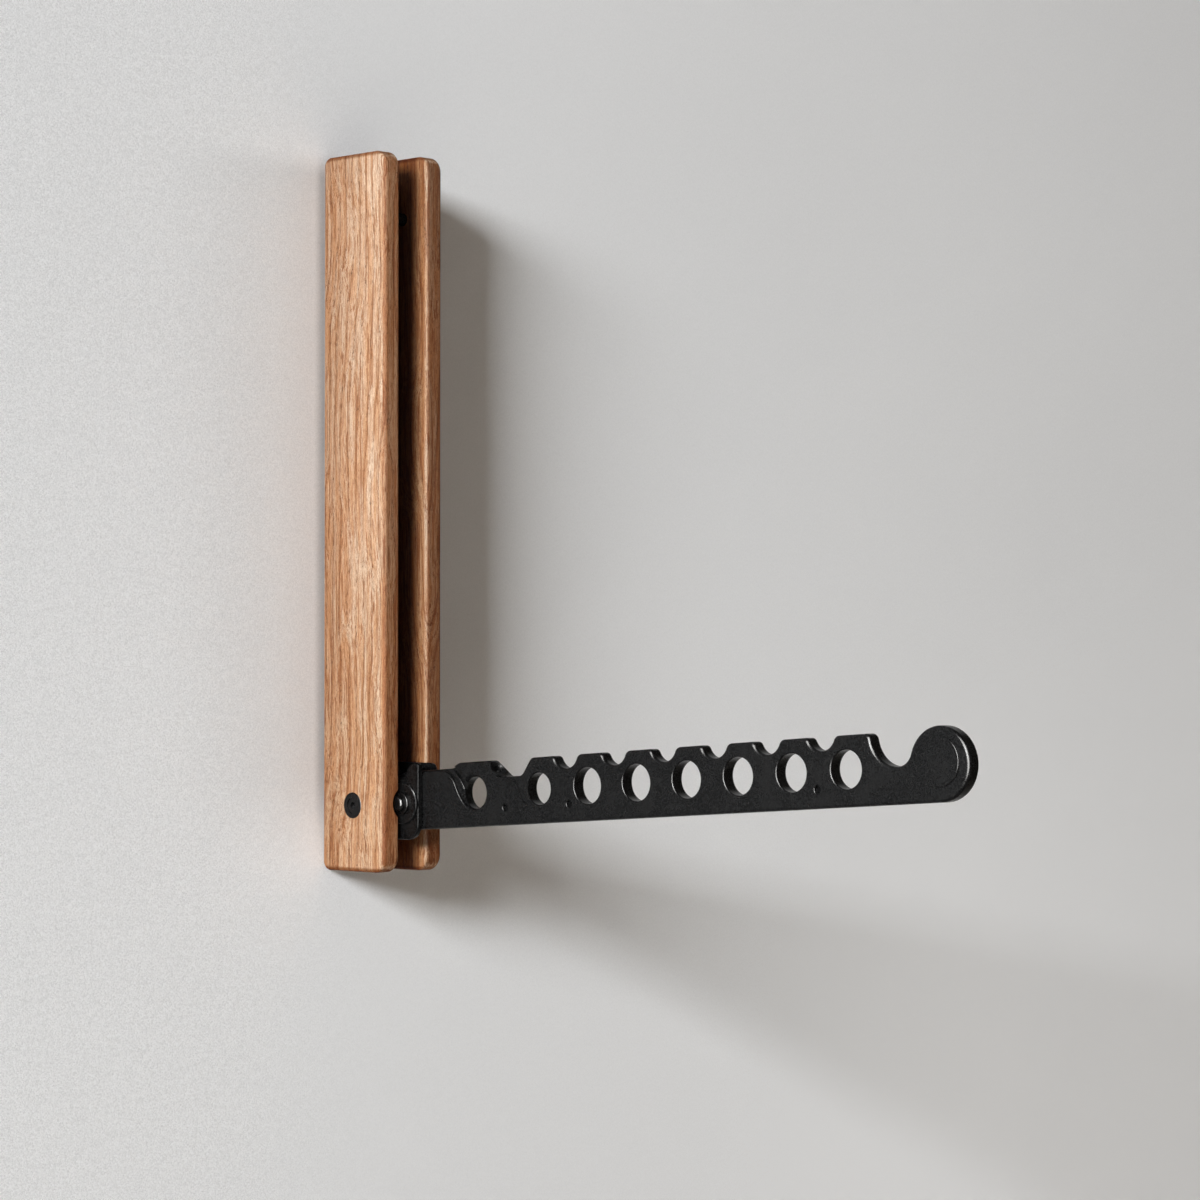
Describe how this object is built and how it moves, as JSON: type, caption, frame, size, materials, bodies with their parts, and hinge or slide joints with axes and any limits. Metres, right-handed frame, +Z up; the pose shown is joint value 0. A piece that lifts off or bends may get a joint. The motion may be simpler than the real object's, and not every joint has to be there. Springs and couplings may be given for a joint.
{
  "type": "wall mounted folding clothes valet",
  "caption": "Folding wall valet: two oak cheeks with a black cast arm between them that swings out level to hold coat hangers in notches and holes, and folds up flat.",
  "frame": {"origin": "on the wall plane, midway between the two wall screw holes", "axes": "+X along the wall to the right seen from the room, +Y into the wall, +Z up"},
  "size_m": [0.0358, 0.3649, 0.33],
  "materials": {
    "oak": "oiled, matt, straight grain",
    "beech_pegs": "raw",
    "black_metal": "fine textured black powder coat, satin",
    "black_steel": "blackened steel, satin",
    "bare_steel": "plain",
    "washer_plastic": "plain black"
  },
  "bodies": {
    "wall_frame": {"left_cheek": "oak", "right_cheek": "oak", "back_spine": "oak", "spine_dowels": "beech_pegs", "tie_rod": "black_steel", "hinge_clevis": "black_metal", "locating_pin": "bare_steel", "cross_bolt": "black_steel", "sleeve_nut": "black_steel", "pivot_pin": "black_steel", "pivot_screw": "black_steel", "spring_washer": "bare_steel", "friction_washers": "washer_plastic"},
    "arm": {"valet_arm": "black_metal", "grub_screw": "black_steel"}
  },
  "joints": [
    {"name": "arm_fold", "type": "hinge", "parent": "wall_frame", "child": "arm", "pos_m": [0, -0.0424, -0.1585], "axis": [-1, 0, 0], "range_deg": [0, 85.3]}
  ]
}
